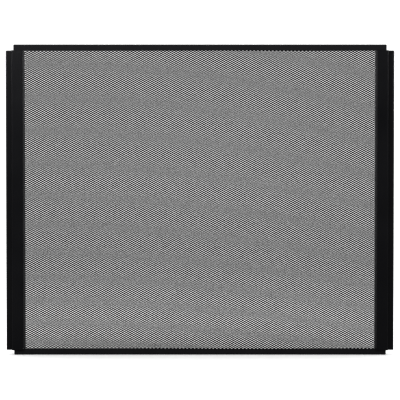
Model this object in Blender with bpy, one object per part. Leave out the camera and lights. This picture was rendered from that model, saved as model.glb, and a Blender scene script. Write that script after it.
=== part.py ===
"""Lift-out fireplace screen: a framed panel of fine steel mesh with a stepped rail down each side.

X runs across the screen, -Y is the side that faces the room and Z is up. The origin is the middle
of the screen's footprint, on the surface that it stands on. All lengths are in metres.

The front faces of the side rails are the foremost surface. A "depth" below is measured backwards
from there, so a depth becomes a Y once half of the whole depth is taken off.
"""

import math

import bmesh
import bpy
from mathutils import Matrix, Vector

# Driving dimensions
OVERALL_WIDTH = 0.637  # over the outer edges of both side flanges
FRAME_WIDTH = 0.6096  # over the ends of the top and bottom rails
FRAME_HEIGHT = 0.508
GAP = 0.0003  # between pieces that touch

# Frame of four folded angles
FRAME_SHEET = 0.0012
FRAME_LEG = 0.0236  # the leg that runs back from the front face
FRAME_BEND = 0.0004  # inner radius of a bend
RAIL_FACE = 0.0098  # height of the top and bottom rails' front faces
STILE_FACE = 0.0184  # width of the stiles' front faces

# Side rails: a flat face, a step back, an outward flange and a rolled hem
SIDE_SHEET = 0.0015
SIDE_LENGTH = 0.4912
SIDE_TOP = 0.0095  # from the frame's upper edge down to the side rail's upper end
SIDE_FACE = 0.0181
SIDE_OVERHANG = 0.0037  # how far the flat face reaches past the frame's end
SIDE_STEP = 0.008
SIDE_BEND = 0.0006
HEM_WIDTH = 0.0065
HEM_OPENING = 0.003  # between the flange and the hem rolled behind it

# Mesh panel and the strips that clamp its edges
MESH_THICKNESS = 0.0005
MESH_EDGE_ROOM = 0.0006
CLAMP_SHEET = 0.0012
RAIL_CLAMP_WIDTH = 0.0078
STILE_CLAMP_WIDTH = 0.016

# Weld studs and their nuts
STUD_RADIUS = 0.0015
STUD_END = 0.0015  # what shows past the nut
STUD_CHAMFER = 0.0004
HOLE_RADIUS = STUD_RADIUS + GAP
NUT_FLATS = 0.0055
NUT_HEIGHT = 0.0024
NUT_CHAMFER = 0.0003
RAIL_STUDS = 4
RAIL_STUD_PITCH = 0.18
RAIL_STUD_DROP = 0.0047  # from the frame's edge to the stud's axis
STILE_STUDS = 3
STILE_STUD_PITCH = 0.19
STILE_STUD_INSET = 0.0078  # from the frame's end to the stud's axis

# Corner brackets and their flush rivets
BRACKET_LEG = 0.025
BRACKET_SHEET = 0.0015
BRACKET_WIDTH = 0.012
BRACKET_DEPTH = 0.0084  # depth of its front edge
RIVET_RADIUS = 0.0015
RIVET_HEAD_RADIUS = 0.0025
RIVET_SINK = 0.00005  # the flush head lies this far under the surface
RIVET_CONE = 0.001
RIVET_DOME = 0.001
RIVET_OFFSET = 0.0145  # from the bracket's heel

BEND_STEPS = 5
ROUND_SIDES = 12
NUT_SIDES = 6
SHARP_ANGLE = math.radians(35)
SAME_POINT = 0.000001

# Depths of the layers, from front to back
FRAME_FRONT = SIDE_SHEET + GAP
FRAME_BACK = FRAME_FRONT + FRAME_LEG
MESH_FRONT = FRAME_FRONT + FRAME_SHEET + GAP
CLAMP_FRONT = MESH_FRONT + MESH_THICKNESS + GAP
NUT_FRONT = CLAMP_FRONT + CLAMP_SHEET + GAP
STUD_TIP = NUT_FRONT + NUT_HEIGHT + STUD_END

FRAME_END = FRAME_WIDTH / 2
MID_HEIGHT = FRAME_HEIGHT / 2
HEEL = FRAME_SHEET + GAP  # from the frame's outside to what lies inside its legs
RIVET_INSIDE = HEEL + BRACKET_SHEET + GAP
SIDES = {"left": -1, "right": 1}
LEVELS = {"top": 1, "bottom": -1}

BLACK = (0.012, 0.012, 0.014)
MESH_BLACK = (0.016, 0.016, 0.018)
ZINC = (0.56, 0.57, 0.59)


def clear_scene():
    for obj in list(bpy.data.objects):
        bpy.data.objects.remove(obj, do_unlink=True)


def new_material(name, colour, roughness, metallic):
    mat = bpy.data.materials.new(name)
    mat.use_nodes = True
    shader = mat.node_tree.nodes["Principled BSDF"]
    shader.inputs["Base Color"].default_value = (*colour, 1)
    shader.inputs["Roughness"].default_value = roughness
    shader.inputs["Metallic"].default_value = metallic
    return mat


def paint(name, colour=BLACK, roughness=0.5):
    return new_material(name + "_paint", colour, roughness, 0)


def zinc(name):
    return new_material(name + "_zinc", ZINC, 0.35, 1)


def new_mesh(name, bm, material=None):
    """A mesh of the closed shapes in bm, with their faces turned outwards."""
    bmesh.ops.recalc_face_normals(bm, faces=bm.faces)
    mesh = bpy.data.meshes.new(name)
    bm.to_mesh(mesh)
    bm.free()
    mesh.shade_smooth()
    mesh.set_sharp_from_angle(angle=SHARP_ANGLE)
    if material:
        mesh.materials.append(material)
    return mesh


def new_piece(name, mesh, where, parent=None):
    obj = bpy.data.objects.new(name, mesh)
    bpy.context.scene.collection.objects.link(obj)
    obj.parent = parent
    obj.matrix_world = where
    return obj


def new_cutter(name, bm):
    cutter = new_piece(name, new_mesh(name, bm), Matrix.Identity(4))
    cutter.hide_render = True
    cutter.display_type = "WIRE"
    return cutter


def cut(obj, cutter):
    boolean = obj.modifiers.new(cutter.name, "BOOLEAN")
    boolean.operation = "DIFFERENCE"
    boolean.solver = "EXACT"
    boolean.object = cutter


def at(x, depth, z):
    return Matrix.Translation((x, depth - FRAME_BACK / 2, z))


def facing(direction):
    """A turn that takes local Z to that direction."""
    return Vector(direction).to_track_quat("Z", "Y").to_matrix().to_4x4()


BACKWARDS = facing((0, 1, 0))


def add_box(bm, size, where):
    bmesh.ops.create_cube(bm, size=1, matrix=where @ Matrix.Diagonal((*size, 1)))


def add_prism(bm, outline, run):
    """Runs a closed outline of points along the vector run, half of it each way."""
    near = [bm.verts.new(p - run / 2) for p in outline]
    far = [bm.verts.new(p + run / 2) for p in outline]
    bm.faces.new(near)
    bm.faces.new(far)
    add_band(bm, near, far)


def add_band(bm, ring, following):
    for i in range(len(ring)):
        j = (i + 1) % len(ring)
        bm.faces.new((ring[i], ring[j], following[j], following[i]))


def add_ring(bm, radii, height, where):
    """Points around local Z, evenly turned, at the radii given in turn."""
    angles = [2 * math.pi * i / len(radii) for i in range(len(radii))]
    points = [(r * math.cos(a), r * math.sin(a), height) for r, a in zip(radii, angles)]
    return [bm.verts.new(where @ Vector(p)) for p in points]


def add_turned(bm, profile, where=Matrix.Identity(4)):
    """Turns (radius, height) points about local Z, and closes both ends with flat faces."""
    rings = [add_ring(bm, [radius] * ROUND_SIDES, height, where) for radius, height in profile]
    bm.faces.new(rings[0])
    bm.faces.new(rings[-1])
    for ring, following in zip(rings, rings[1:]):
        add_band(bm, ring, following)


def folded_section(path, sheet, inner_radii):
    """Outline, in two coordinates, of a sheet whose middle follows path and is bent at its corners."""
    half = sheet / 2
    legs = [(b - a).normalized() for a, b in zip(path, path[1:])]
    left = [path[0] + legs[0].orthogonal() * half]
    right = [path[0] - legs[0].orthogonal() * half]
    for corner, before, after, inner_radius in zip(path[1:], legs, legs[1:], inner_radii):
        bend = inner_radius + half
        turn = math.atan2(before.cross(after), before.dot(after))
        side = math.copysign(1, turn)
        normal = before.orthogonal()
        centre = corner - before * bend * math.tan(abs(turn) / 2) + normal * bend * side
        for step in range(BEND_STEPS + 1):
            outwards = Matrix.Rotation(turn * step / BEND_STEPS, 2) @ normal
            left.append(centre - outwards * (bend * side - half))
            right.append(centre - outwards * (bend * side + half))
    left.append(path[-1] + legs[-1].orthogonal() * half)
    right.append(path[-1] - legs[-1].orthogonal() * half)
    outline = left + right[::-1]
    return [p for p, q in zip(outline, outline[1:] + outline[:1]) if (p - q).length > SAME_POINT]


def angle_section(face):
    """An angle with its outer corner at (0, 0): its face runs along u, its other leg along v."""
    half = FRAME_SHEET / 2
    path = [Vector((face, half)), Vector((half, half)), Vector((half, FRAME_LEG))]
    return folded_section(path, FRAME_SHEET, [FRAME_BEND])


def side_rail_section():
    """A side rail's section, as (distance past the frame's end, depth) points."""
    half = SIDE_SHEET / 2
    step = SIDE_OVERHANG - half
    flange = SIDE_STEP + half
    edge = (OVERALL_WIDTH - FRAME_WIDTH) / 2
    hem = flange + SIDE_SHEET + HEM_OPENING
    path = [
        Vector((SIDE_OVERHANG - SIDE_FACE, half)),
        Vector((step, half)),
        Vector((step, flange)),
        Vector((edge - half, flange)),
        Vector((edge - half, hem)),
        Vector((edge - HEM_WIDTH, hem)),
    ]
    radii = [SIDE_BEND, SIDE_BEND, HEM_OPENING / 2, HEM_OPENING / 2]
    return folded_section(path, SIDE_SHEET, radii)


def bracket_section():
    """A corner bracket's section, with its heel at (0, 0) and a leg along each axis."""
    half = BRACKET_SHEET / 2
    path = [Vector((BRACKET_LEG, half)), Vector((half, half)), Vector((half, BRACKET_LEG))]
    return folded_section(path, BRACKET_SHEET, [SIDE_BEND])


def evenly(count, pitch):
    """Positions either side of zero, the same distance apart."""
    return [(i - (count - 1) / 2) * pitch for i in range(count)]


def stud_places():
    """{name of the piece the stud is welded to: [(x, z) of each stud]}."""
    places = {}
    for name, level in LEVELS.items():
        height = MID_HEIGHT + level * (MID_HEIGHT - RAIL_STUD_DROP)
        places[name] = [(x, height) for x in evenly(RAIL_STUDS, RAIL_STUD_PITCH)]
    for name, across in SIDES.items():
        x = across * (FRAME_END - STILE_STUD_INSET)
        places[name] = [(x, MID_HEIGHT + z) for z in evenly(STILE_STUDS, STILE_STUD_PITCH)]
    return places


def rivet_places():
    """{rivet's name: matrix at the frame's outer surface whose local Z points into the frame}."""
    depth = BRACKET_DEPTH + BRACKET_WIDTH / 2
    offset = HEEL + RIVET_OFFSET
    places = {}
    for level_name, level in LEVELS.items():
        edge = MID_HEIGHT + level * MID_HEIGHT
        for side_name, across in SIDES.items():
            corner = f"{level_name}_{side_name}"
            on_rail = at(across * (FRAME_END - offset), depth, edge)
            on_stile = at(across * FRAME_END, depth, edge - level * offset)
            places[corner + "_rail_rivet"] = on_rail @ facing((0, 0, -level))
            places[corner + "_stile_rivet"] = on_stile @ facing((-across, 0, 0))
    return places


def make_stud_hole_cutter():
    """Clears every stud's way through the stiles, the mesh and the clamps."""
    bm = bmesh.new()
    for places in stud_places().values():
        for x, z in places:
            where = at(x, SIDE_SHEET / 2, z) @ BACKWARDS
            add_turned(bm, [(HOLE_RADIUS, 0), (HOLE_RADIUS, STUD_TIP)], where)
    return new_cutter("stud_hole_cutter", bm)


def make_rivet_hole_cutter():
    """Countersunk holes through the frame's legs, which go on through the brackets."""
    shank = RIVET_RADIUS + GAP
    mouth = RIVET_HEAD_RADIUS + GAP
    profile = [(mouth, -GAP), (mouth, RIVET_SINK), (shank, RIVET_CONE), (shank, RIVET_INSIDE)]
    bm = bmesh.new()
    for where in rivet_places().values():
        add_turned(bm, profile, where)
    return new_cutter("rivet_hole_cutter", bm)


def make_stile_end_cutter():
    """Clears the stiles' front faces from the space of the rails' front faces."""
    depth = MESH_FRONT + GAP / 2
    height = 2 * (RAIL_FACE + GAP)
    bm = bmesh.new()
    for edge in (0, FRAME_HEIGHT):
        add_box(bm, (OVERALL_WIDTH, depth, height), at(0, depth / 2, edge))
    return new_cutter("stile_end_cutter", bm)


def make_rail(name, level, parent):
    """A horizontal angle whose front face starts at the frame's edge and whose leg runs back."""
    bm = bmesh.new()
    outline = [Vector((0, p.y, -level * p.x)) for p in angle_section(RAIL_FACE)]
    add_prism(bm, outline, Vector((FRAME_WIDTH, 0, 0)))
    mesh = new_mesh(name + "_rail", bm, paint(name + "_rail"))
    where = at(0, FRAME_FRONT, MID_HEIGHT + level * MID_HEIGHT)
    return new_piece(name + "_rail", mesh, where, parent)


def make_stile(name, across, parent):
    """An upright angle between the rails' legs."""
    bm = bmesh.new()
    outline = [Vector((-across * p.x, p.y, 0)) for p in angle_section(STILE_FACE)]
    add_prism(bm, outline, Vector((0, 0, FRAME_HEIGHT - 2 * HEEL)))
    mesh = new_mesh(name + "_stile", bm, paint(name + "_stile"))
    return new_piece(name + "_stile", mesh, at(across * FRAME_END, FRAME_FRONT, MID_HEIGHT), parent)


def make_side_rail(name, across, parent):
    """One folded strip: flat face, step back, outward flange and a hem rolled behind the flange."""
    bm = bmesh.new()
    outline = [Vector((across * p.x, p.y, 0)) for p in side_rail_section()]
    add_prism(bm, outline, Vector((0, 0, SIDE_LENGTH)))
    mesh = new_mesh(name + "_side_rail", bm, paint(name + "_side_rail"))
    middle = FRAME_HEIGHT - SIDE_TOP - SIDE_LENGTH / 2
    return new_piece(name + "_side_rail", mesh, at(across * FRAME_END, 0, middle), parent)


def make_mesh_panel(parent):
    """The space that the mesh takes up: a thin sheet that reaches behind all four front faces."""
    edge = FRAME_SHEET + MESH_EDGE_ROOM
    bm = bmesh.new()
    size = (FRAME_WIDTH - 2 * edge, MESH_THICKNESS, FRAME_HEIGHT - 2 * edge)
    add_box(bm, size, Matrix.Identity(4))
    mesh = new_mesh("mesh_panel", bm, paint("mesh_panel", MESH_BLACK, 0.45))
    where = at(0, MESH_FRONT + MESH_THICKNESS / 2, MID_HEIGHT)
    return new_piece("mesh_panel", mesh, where, parent)


def make_clamp(name, width, height, x, z, parent):
    bm = bmesh.new()
    add_box(bm, (width, CLAMP_SHEET, height), Matrix.Identity(4))
    mesh = new_mesh(name + "_mesh_clamp", bm, paint(name + "_mesh_clamp"))
    where = at(x, CLAMP_FRONT + CLAMP_SHEET / 2, z)
    return new_piece(name + "_mesh_clamp", mesh, where, parent)


def make_clamps(parent):
    """Flat strips behind the mesh: two along the rails, and two upright ones between them."""
    inner_x = FRAME_END - STILE_FACE + GAP
    outer_x = inner_x + STILE_CLAMP_WIDTH
    inner_z = MID_HEIGHT - RAIL_FACE + GAP
    clamps = []
    for name, level in LEVELS.items():
        z = MID_HEIGHT + level * (inner_z + RAIL_CLAMP_WIDTH / 2)
        clamps.append(make_clamp(name, 2 * outer_x, RAIL_CLAMP_WIDTH, 0, z, parent))
    for name, across in SIDES.items():
        x = across * (inner_x + STILE_CLAMP_WIDTH / 2)
        height = 2 * (inner_z - GAP)
        clamps.append(make_clamp(name, STILE_CLAMP_WIDTH, height, x, MID_HEIGHT, parent))
    return clamps


def make_bracket(level_name, side_name, parent):
    """A strip bent to a right angle, in the corner where a rail's and a stile's legs meet."""
    level = LEVELS[level_name]
    across = SIDES[side_name]
    name = f"{level_name}_{side_name}_bracket"
    bm = bmesh.new()
    outline = [Vector((-across * p.x, 0, -level * p.y)) for p in bracket_section()]
    add_prism(bm, outline, Vector((0, BRACKET_WIDTH, 0)))
    mesh = new_mesh(name, bm, zinc(name))
    z = MID_HEIGHT + level * (MID_HEIGHT - HEEL)
    where = at(across * (FRAME_END - HEEL), BRACKET_DEPTH + BRACKET_WIDTH / 2, z)
    return new_piece(name, mesh, where, parent)


def make_rivets(parent):
    """Flush rivets: a cone sunk into the frame, a shank, and a low dome inside the bracket."""
    profile = [
        (RIVET_HEAD_RADIUS, RIVET_SINK),
        (RIVET_RADIUS, RIVET_CONE),
        (RIVET_RADIUS, RIVET_INSIDE),
        (RIVET_HEAD_RADIUS, RIVET_INSIDE),
        (RIVET_HEAD_RADIUS * 0.85, RIVET_INSIDE + RIVET_DOME * 0.6),
        (RIVET_HEAD_RADIUS * 0.45, RIVET_INSIDE + RIVET_DOME),
    ]
    bm = bmesh.new()
    add_turned(bm, profile)
    mesh = new_mesh("rivet", bm, zinc("rivet"))
    for name, where in rivet_places().items():
        new_piece(name, mesh, where, parent)


def stud_mesh(name, length):
    bm = bmesh.new()
    neck = length - STUD_CHAMFER
    tip_radius = STUD_RADIUS - STUD_CHAMFER
    add_turned(bm, [(STUD_RADIUS, 0), (STUD_RADIUS, neck), (tip_radius, length)])
    return new_mesh(name, bm, zinc(name))


def nut_mesh():
    """A hexagon with chamfered edges and a round bore, as a closed band of rings."""
    flat = NUT_FLATS / 2
    corner = flat / math.cos(math.pi / NUT_SIDES)
    levels = [
        (NUT_CHAMFER, 0),
        (0, NUT_CHAMFER),
        (0, NUT_HEIGHT - NUT_CHAMFER),
        (NUT_CHAMFER, NUT_HEIGHT),
    ]
    bm = bmesh.new()
    here = Matrix.Identity(4)
    rings = [add_ring(bm, [corner - d, flat - d] * NUT_SIDES, h, here) for d, h in levels]
    for height in (NUT_HEIGHT, 0):
        rings.append(add_ring(bm, [HOLE_RADIUS] * 2 * NUT_SIDES, height, here))
    for ring, following in zip(rings, rings[1:] + rings[:1]):
        add_band(bm, ring, following)
    return new_mesh("nut", bm, zinc("nut"))


def make_fasteners(parent):
    """A weld stud and its nut at each place. Those of the side rails also pass through a stile."""
    starts = {"top": MESH_FRONT, "bottom": MESH_FRONT, "left": FRAME_FRONT, "right": FRAME_FRONT}
    studs = {start: stud_mesh("weld_stud", STUD_TIP - start) for start in set(starts.values())}
    nut = nut_mesh()
    for name, places in stud_places().items():
        start = starts[name]
        for i, (x, z) in enumerate(places, 1):
            new_piece(f"{name}_weld_stud_{i}", studs[start], at(x, start, z) @ BACKWARDS, parent)
            new_piece(f"{name}_clamp_nut_{i}", nut, at(x, NUT_FRONT, z) @ BACKWARDS, parent)


def build():
    clear_scene()
    screen = new_piece("fireplace_screen", None, Matrix.Identity(4))
    stud_holes = make_stud_hole_cutter()
    rivet_holes = make_rivet_hole_cutter()
    stile_ends = make_stile_end_cutter()

    for name, level in LEVELS.items():
        cut(make_rail(name, level, screen), rivet_holes)
    for name, across in SIDES.items():
        stile = make_stile(name, across, screen)
        for cutter in (stile_ends, rivet_holes, stud_holes):
            cut(stile, cutter)
        make_side_rail(name, across, screen)
    for sheet in [make_mesh_panel(screen), *make_clamps(screen)]:
        cut(sheet, stud_holes)
    for level_name in LEVELS:
        for side_name in SIDES:
            cut(make_bracket(level_name, side_name, screen), rivet_holes)
    make_rivets(screen)
    make_fasteners(screen)


build()
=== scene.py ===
import math

import bpy
import numpy as np
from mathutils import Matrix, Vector


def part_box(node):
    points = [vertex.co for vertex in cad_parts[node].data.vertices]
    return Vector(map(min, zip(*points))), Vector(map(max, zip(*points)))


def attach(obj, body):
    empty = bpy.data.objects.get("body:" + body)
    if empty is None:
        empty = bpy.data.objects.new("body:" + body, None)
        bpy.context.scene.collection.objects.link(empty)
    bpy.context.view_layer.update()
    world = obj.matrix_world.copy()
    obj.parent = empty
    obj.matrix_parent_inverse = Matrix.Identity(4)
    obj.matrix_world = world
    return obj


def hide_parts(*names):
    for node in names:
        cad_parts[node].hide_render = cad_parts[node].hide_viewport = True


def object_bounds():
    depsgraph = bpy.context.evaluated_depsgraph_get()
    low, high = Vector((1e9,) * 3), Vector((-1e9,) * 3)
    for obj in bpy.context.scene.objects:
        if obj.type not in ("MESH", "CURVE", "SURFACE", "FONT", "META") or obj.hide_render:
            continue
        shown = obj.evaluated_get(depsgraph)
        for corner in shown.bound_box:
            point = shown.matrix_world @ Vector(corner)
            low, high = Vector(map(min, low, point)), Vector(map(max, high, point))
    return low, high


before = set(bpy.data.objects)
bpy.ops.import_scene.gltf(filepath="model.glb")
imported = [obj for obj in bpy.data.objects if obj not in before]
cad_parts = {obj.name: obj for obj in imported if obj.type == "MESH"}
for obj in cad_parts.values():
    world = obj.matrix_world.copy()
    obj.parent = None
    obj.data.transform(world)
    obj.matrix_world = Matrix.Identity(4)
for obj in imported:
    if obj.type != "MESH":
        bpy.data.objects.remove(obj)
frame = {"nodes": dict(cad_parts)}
CAD_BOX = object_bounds()

# Camera: square on to the screen, a little above its middle
CAMERA_DISTANCE = 2.5  # from the foremost surface
CAMERA_PITCH = math.radians(1.45)
VIEW_WIDTH = 0.6548  # across the image, at the foremost surface
SENSOR = 36.0
FARTHEST_SEEN = 100

# Expanded steel mesh
LONG_PITCH = 0.00609  # from opening to opening along a row
SHORT_PITCH = 0.003175  # and from one row to the next but one
OPENING_WIDTH = 0.6 * LONG_PITCH
OPENING_FLAT = 0.4 * LONG_PITCH  # the level part of its upper and lower edges
OPENING_HEIGHT = 0.375 * SHORT_PITCH
STRAND_SHEET = 0.0007
STRAND_LEAN = 0.00015  # a strand's lower edge stands this far in front of its middle
MESH_BANDS = 5
STUD_ROOM = 0.0019  # cut out of the mesh round each stud's axis

# Expanded mesh is never pulled quite straight: how far it has wandered at the frame's edges
ROW_SHIFT = -0.0004
ROW_TILT = -0.00115
ROW_BOW = -0.0006
ROW_STRETCH = 0.00075
ROW_CREEP = -0.0008
COLUMN_SHIFT = -0.0011
COLUMN_TILT = -0.0009
COLUMN_STRETCH = 0.0006
COLUMN_CREEP = 0.00095

# Materials: the sizes of their patterns are per metre, and bump heights are in metres
ZINC_PIECES = ("bracket", "rivet", "stud", "nut")
NOISE_LOW, NOISE_HIGH = 0.3, 0.7  # the range that most of a noise stays in
COAT_DRIFT = 18  # slow changes of tone and gloss over a rail
COAT_PEEL = 1400
COAT_PEEL_HEIGHT = 0.00004
STRAND_MOTTLE = 160
ZINC_MOTTLE = 420
ZINC_GRAIN = 2600
ZINC_GRAIN_HEIGHT = 0.00001

# Powder coats: darkest and palest colour, least and most roughness, and shine
RAIL_COAT = (0.017, 0.017, 0.019), (0.022, 0.022, 0.024), 0.6, 0.68, 0.22
# The stiles' coat is paler than the rails': a painted highlight that lifts the narrow strip showing beside
# each side rail
STILE_COAT_AND_PAINTED_HIGHLIGHT = (0.027, 0.027, 0.029), (0.036, 0.036, 0.038), 0.45, 0.5, 0.6
SIDE_RAIL_COAT = (0.006, 0.006, 0.008), (0.009, 0.009, 0.011), 0.34, 0.38, 0.35

# Studio: how bright the background and the room look, and the display's curve
PAPER_WHITE = 1.158
SKY_TOP = 1.16
SKY_SIDE = 0.26
FLOOR_SIZE = 60
FLOOR_DROP = 0.0002  # keeps the floor clear of the face that the screen stands on
FLOOR_GLOW = 0.487
FLOOR_TONE = 0.8
DISPLAY_GAMMA = 0.53

# Softboxes: name, width and height, watts, place, the point it is aimed at, and what it lights
SOFTBOXES = [
    ("key_softbox", (1.0, 0.3), 17, (-0.24, -1.3, 0.95), (0, 0, 0.3), "frame"),
    ("left_softbox", (0.3, 0.4), 27, (-1.4, -0.7, 0.85), (0, 0, 0.35), "frame"),
    ("right_softbox", (0.3, 0.4), 23, (1.4, -0.7, 0.85), (0, 0, 0.35), "frame"),
    ("rear_softbox", (1.6, 1.0), 90, (0.3, 1.6, 0.9), (0, 0, 0.25), "painted"),
    ("rear_zinc_softbox", (1.6, 1.0), 8, (0.3, 1.6, 0.9), (0, 0, 0.25), "zinc"),
    ("floor_softbox", (1.1, 0.35), 5.1, (0, 0.18, 1.35), (0, 0.18, 0), "floor"),
]


def new_material(name):
    mat = bpy.data.materials.new(name)
    mat.use_nodes = True
    return mat, mat.node_tree.nodes, mat.node_tree.links


def noise(nodes, links, scale, detail):
    """A noise texture laid out in metres in the object's own space."""
    place = nodes.new("ShaderNodeTexCoord")
    texture = nodes.new("ShaderNodeTexNoise")
    texture.inputs["Scale"].default_value = scale
    texture.inputs["Detail"].default_value = detail
    links.new(place.outputs["Object"], texture.inputs["Vector"])
    return texture.outputs["Fac"]


def spread(nodes, links, value, low, high):
    """Maps the middle of a noise onto a range of numbers."""
    to = nodes.new("ShaderNodeMapRange")
    to.inputs["From Min"].default_value = NOISE_LOW
    to.inputs["From Max"].default_value = NOISE_HIGH
    to.inputs["To Min"].default_value = low
    to.inputs["To Max"].default_value = high
    links.new(value, to.inputs["Value"])
    return to.outputs["Result"]


def tones(nodes, links, value, dark, light):
    """Maps the middle of a noise onto the colours between two."""
    ramp = nodes.new("ShaderNodeValToRGB")
    ramp.color_ramp.elements[0].position = NOISE_LOW
    ramp.color_ramp.elements[0].color = (*dark, 1)
    ramp.color_ramp.elements[1].position = NOISE_HIGH
    ramp.color_ramp.elements[1].color = (*light, 1)
    links.new(value, ramp.inputs["Fac"])
    return ramp.outputs["Color"]


def bump(nodes, links, value, height):
    node = nodes.new("ShaderNodeBump")
    node.inputs["Distance"].default_value = height
    links.new(value, node.inputs["Height"])
    return node.outputs["Normal"]


def powder_coat(name, dark, light, smooth, rough, shine):
    """Black powder coat: a fine orange peel over slow changes of tone and gloss."""
    mat, nodes, links = new_material(name)
    shader = nodes["Principled BSDF"]
    drift = noise(nodes, links, COAT_DRIFT, 3)
    peel = noise(nodes, links, COAT_PEEL, 2)
    links.new(tones(nodes, links, drift, dark, light), shader.inputs["Base Color"])
    links.new(spread(nodes, links, drift, smooth, rough), shader.inputs["Roughness"])
    links.new(bump(nodes, links, peel, COAT_PEEL_HEIGHT), shader.inputs["Normal"])
    shader.inputs["Specular IOR Level"].default_value = shine
    return mat


def mesh_paint():
    """The thinner black paint on the mesh's strands."""
    mat, nodes, links = new_material("mesh_paint")
    shader = nodes["Principled BSDF"]
    mottle = noise(nodes, links, STRAND_MOTTLE, 3)
    colour = tones(nodes, links, mottle, (0.012, 0.012, 0.013), (0.02, 0.02, 0.022))
    links.new(colour, shader.inputs["Base Color"])
    links.new(spread(nodes, links, mottle, 0.4, 0.5), shader.inputs["Roughness"])
    return mat


def zinc_plate():
    """Dull zinc plate, mottled, with a fine grain."""
    mat, nodes, links = new_material("zinc_plate")
    shader = nodes["Principled BSDF"]
    shader.inputs["Metallic"].default_value = 1
    mottle = noise(nodes, links, ZINC_MOTTLE, 3)
    colour = tones(nodes, links, mottle, (0.42, 0.43, 0.45), (0.58, 0.58, 0.57))
    links.new(colour, shader.inputs["Base Color"])
    links.new(spread(nodes, links, mottle, 0.28, 0.44), shader.inputs["Roughness"])
    grain = noise(nodes, links, ZINC_GRAIN, 2)
    links.new(bump(nodes, links, grain, ZINC_GRAIN_HEIGHT), shader.inputs["Normal"])
    return mat


def is_zinc(node):
    return any(word in node for word in ZINC_PIECES)


def dress(piece, mat):
    for slot in piece.material_slots:
        slot.link = "OBJECT"
        slot.material = mat


def dress_frame():
    """The rails, the stiles and the side rails differ a little in tone and gloss; the stiles' paler tone
    is a painted highlight.
    """
    rail_paint = powder_coat("frame_paint", *RAIL_COAT)
    # the stiles' paint is the rails' black powder coat made paler, as a painted highlight
    stile_paint_and_painted_highlight = powder_coat("stile_paint_and_painted_highlight", *STILE_COAT_AND_PAINTED_HIGHLIGHT)
    side_paint = powder_coat("side_rail_paint", *SIDE_RAIL_COAT)
    zinc = zinc_plate()
    for node, piece in frame["nodes"].items():
        if is_zinc(node):
            dress(piece, zinc)
        elif "side_rail" in node:
            dress(piece, side_paint)
        elif "stile" in node:
            dress(piece, stile_paint_and_painted_highlight)
        else:
            dress(piece, rail_paint)


def mesh_corners(rows, columns):
    """Six corners of every opening, anticlockwise from its left tip, in the middle of the sheet.

    Odd rows sit half a pitch to the right.
    """
    row, column = np.meshgrid(np.arange(rows), np.arange(columns), indexing="ij")
    x = (column - (columns - 1) / 2 + (row % 2 - 0.5) / 2) * LONG_PITCH
    z = (row - (rows - 1) / 2) * SHORT_PITCH / 2
    centres = np.stack([x, np.zeros_like(x), z], axis=-1)[:, :, None, :]
    tip, flat, rise, lean = OPENING_WIDTH / 2, OPENING_FLAT / 2, OPENING_HEIGHT / 2, STRAND_LEAN
    outline = [
        (-tip, 0, 0),
        (-flat, lean, -rise),
        (flat, lean, -rise),
        (tip, 0, 0),
        (flat, -lean, rise),
        (-flat, -lean, rise),
    ]
    return (centres + np.array(outline)).reshape(-1, 3)


def wander(points, size):
    """Lets the even pattern wander a millimetre or so, smoothly, across the panel and up it."""
    across, up = points[:, 0] / (size.x / 2), points[:, 2] / (size.z / 2)
    sideways = COLUMN_SHIFT + COLUMN_TILT * across + COLUMN_STRETCH * across**2 + COLUMN_CREEP * across**3
    upwards = ROW_SHIFT + ROW_TILT * across + ROW_BOW * across**2 + ROW_STRETCH * up**2 + ROW_CREEP * up**3
    return points + np.stack([sideways, np.zeros_like(across), upwards], axis=-1)


def clear_of_studs(points, quads):
    """True for each quad whose corners all leave room for the studs."""
    clear = np.ones(len(points), dtype=bool)
    for node in frame["nodes"]:
        if "stud" in node:
            low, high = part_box(node)
            away = points - np.array((low + high) / 2)
            clear &= np.hypot(away[:, 0], away[:, 2]) > STUD_ROOM
    return clear[quads].all(axis=1)


def mesh_quads(rows, columns):
    """The metal between openings as quads of corner numbers, and the row that each one starts from."""
    row, column = np.meshgrid(np.arange(rows), np.arange(columns), indexing="ij")
    right = column + row % 2
    left = right - 1

    def corner(r, c, which):
        inside = (r >= 0) & (r < rows) & (c >= 0) & (c < columns)
        return np.where(inside, (r * columns + c) * 6 + which, -1)

    here_right, here_left = corner(row, column, 3), corner(row, column, 0)
    next_left = corner(row, column + 1, 0)
    shapes = [
        (here_right, corner(row + 1, right, 1), corner(row + 1, right, 0), corner(row, column, 4)),
        (corner(row, column, 5), corner(row + 1, left, 3), corner(row + 1, left, 2), here_left),
        (here_right, corner(row - 1, right, 5), corner(row - 1, right, 4), next_left),
        (here_right, next_left, corner(row + 1, right, 2), corner(row + 1, right, 1)),
    ]
    quads = np.concatenate([np.stack(shape, axis=-1).reshape(-1, 4) for shape in shapes])
    owners = np.tile(row.reshape(-1), len(shapes))
    whole = (quads >= 0).all(axis=1)
    return quads[whole], owners[whole]


def sheet_mesh(name, points, quads):
    """A closed sheet: the quads at the front, again at the back, and a wall along every open edge."""
    used, index = np.unique(quads, return_inverse=True)
    front = index.reshape(-1, 4)
    count = len(used)
    half = np.array([0, STRAND_SHEET / 2, 0])
    vertices = np.concatenate([points[used] - half, points[used] + half])
    start = front.reshape(-1)
    end = np.roll(front, -1, axis=1).reshape(-1)
    open_edge = ~np.isin(start * count + end, end * count + start)
    start, end = start[open_edge], end[open_edge]
    walls = np.stack([start, start + count, end + count, end], axis=1)
    faces = np.concatenate([front, front[:, ::-1] + count, walls])
    mesh = bpy.data.meshes.new(name)
    mesh.from_pydata(vertices.tolist(), [], faces.tolist())
    return mesh


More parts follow.
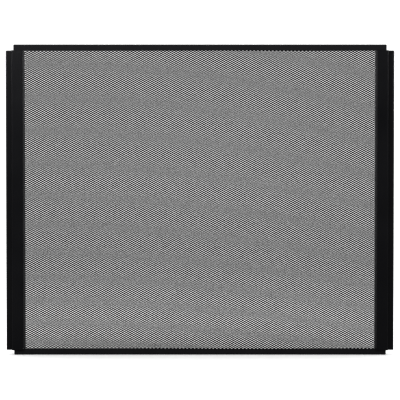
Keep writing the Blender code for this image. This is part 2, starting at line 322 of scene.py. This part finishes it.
def make_mesh_panel(mat):
    """The whole mesh, a row of openings at a time, in bands that stand for the CAD's plain sheet."""
    low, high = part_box("mesh_panel")
    rows = int((high.z - low.z) / (SHORT_PITCH / 2)) - 2
    columns = int((high.x - low.x) / LONG_PITCH) - 1
    points = wander(mesh_corners(rows, columns), high - low) + np.array((low + high) / 2)
    quads, owners = mesh_quads(rows, columns)
    kept = clear_of_studs(points, quads)
    quads, owners = quads[kept], owners[kept]
    for band in range(MESH_BANDS):
        name = f"mesh_band_{band + 1}"
        mesh = sheet_mesh(name, points, quads[owners * MESH_BANDS // rows == band])
        mesh.materials.append(mat)
        piece = bpy.data.objects.new(name, mesh)
        bpy.context.scene.collection.objects.link(piece)
        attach(piece, "root")
        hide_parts("mesh_panel")


def make_floor():
    """A plain pale floor that glows a little, as paper lit from all round does."""
    mat, nodes, _ = new_material("pale_floor")
    shader = nodes["Principled BSDF"]
    shader.inputs["Base Color"].default_value = (FLOOR_TONE, FLOOR_TONE, FLOOR_TONE, 1)
    shader.inputs["Roughness"].default_value = 0.9
    shader.inputs["Specular IOR Level"].default_value = 0
    shader.inputs["Emission Color"].default_value = (1, 1, 1, 1)
    shader.inputs["Emission Strength"].default_value = FLOOR_GLOW
    bpy.ops.mesh.primitive_plane_add(size=FLOOR_SIZE, location=(0, 0, -FLOOR_DROP))
    floor = bpy.context.object
    floor.name = "floor"
    floor.data.materials.append(mat)
    return floor


def make_world():
    """A plain white studio: the camera sees an even white, and the light comes mostly from above."""
    world = bpy.data.worlds.new("studio")
    bpy.context.scene.world = world
    world.use_nodes = True
    nodes, links = world.node_tree.nodes, world.node_tree.links
    nodes.clear()
    seen = nodes.new("ShaderNodeBackground")
    seen.inputs["Color"].default_value = (1, 1, 1, 1)
    seen.inputs["Strength"].default_value = PAPER_WHITE
    room = nodes.new("ShaderNodeBackground")
    room.inputs["Color"].default_value = (1, 1, 1, 1)
    place = nodes.new("ShaderNodeTexCoord")
    split = nodes.new("ShaderNodeSeparateXYZ")
    rise = nodes.new("ShaderNodeMapRange")
    rise.inputs["To Min"].default_value = SKY_SIDE
    rise.inputs["To Max"].default_value = SKY_TOP
    links.new(place.outputs["Generated"], split.inputs["Vector"])
    links.new(split.outputs["Z"], rise.inputs["Value"])
    links.new(rise.outputs["Result"], room.inputs["Strength"])
    path = nodes.new("ShaderNodeLightPath")
    mix = nodes.new("ShaderNodeMixShader")
    out = nodes.new("ShaderNodeOutputWorld")
    links.new(path.outputs["Is Camera Ray"], mix.inputs["Fac"])
    links.new(room.outputs[0], mix.inputs[1])
    links.new(seen.outputs[0], mix.inputs[2])
    links.new(mix.outputs[0], out.inputs["Surface"])


def make_light(name, size, watts, place, aim, pieces):
    """A softbox that lights only the pieces given, and that the camera doesn't see."""
    data = bpy.data.lights.new(name, "AREA")
    data.shape = "RECTANGLE"
    data.size, data.size_y = size
    data.energy = watts
    light = bpy.data.objects.new(name, data)
    bpy.context.scene.collection.objects.link(light)
    light.location = place
    light.rotation_mode = "QUATERNION"
    light.rotation_quaternion = (Vector(aim) - Vector(place)).to_track_quat("-Z", "Y")
    light.visible_camera = False
    reach = bpy.data.collections.new(name + "_reach")
    for piece in pieces:
        reach.objects.link(piece)
    light.light_linking.receiver_collection = reach


def light_studio(floor):
    nodes = frame["nodes"]
    lit = {
        "frame": list(nodes.values()),
        "zinc": [piece for node, piece in nodes.items() if is_zinc(node)],
        "painted": [piece for node, piece in nodes.items() if not is_zinc(node)],
        "floor": [floor],
    }
    for name, size, watts, place, aim, what in SOFTBOXES:
        make_light(name, size, watts, place, aim, lit[what])


def make_camera(middle):
    """A camera aimed at middle, the centre of the screen's foremost surface."""
    data = bpy.data.cameras.new("camera")
    data.sensor_width = SENSOR
    data.lens = SENSOR * CAMERA_DISTANCE / VIEW_WIDTH
    data.clip_end = FARTHEST_SEEN
    camera = bpy.data.objects.new("camera", data)
    bpy.context.scene.collection.objects.link(camera)
    back = Vector((0, -math.cos(CAMERA_PITCH), math.sin(CAMERA_PITCH)))
    camera.location = middle + back * CAMERA_DISTANCE
    camera.rotation_mode = "QUATERNION"
    camera.rotation_quaternion = (-back).to_track_quat("-Z", "Y")
    bpy.context.scene.camera = camera


def set_display():
    view = bpy.context.scene.view_settings
    view.view_transform = "Standard"
    view.look = "None"
    view.gamma = DISPLAY_GAMMA


dress_frame()
make_mesh_panel(mesh_paint())
make_world()
light_studio(make_floor())
centre = (CAD_BOX[0] + CAD_BOX[1]) / 2
make_camera(Vector((centre.x, CAD_BOX[0].y, centre.z)))
set_display()
